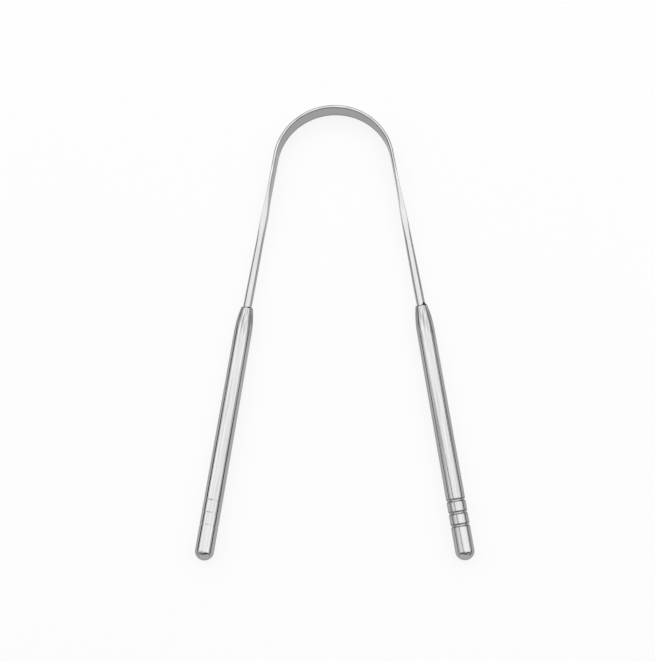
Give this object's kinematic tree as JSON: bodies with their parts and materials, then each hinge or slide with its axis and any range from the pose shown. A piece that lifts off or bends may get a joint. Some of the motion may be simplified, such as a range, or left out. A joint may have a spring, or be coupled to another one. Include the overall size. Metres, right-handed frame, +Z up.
{
  "type": "tongue scraper",
  "caption": "U-shaped polished steel tongue scraper: a rod bow pressed flat at its crown, with slim round handles that have rolled grooves and domed ends.",
  "frame": {"origin": "below the middle of the object's length, on the surface that it lies on", "axes": "+Y towards the crown of the bow, -Y towards the ends of the handles, +X to the right handle, +Z up from the surface, square to the plane of the bow"},
  "size_m": [0.0874, 0.15, 0.007],
  "materials": {
    "bow_steel": "polished stainless steel, pressed and drawn rod",
    "handle_steel": "polished stainless steel tube with faint draw lines",
    "cap_steel": "polished stainless steel, turned"
  },
  "bodies": {
    "root": {"bow": "bow_steel", "left_handle": "handle_steel", "right_handle": "handle_steel", "left_end_cap": "cap_steel", "right_end_cap": "cap_steel"}
  },
  "joints": []
}
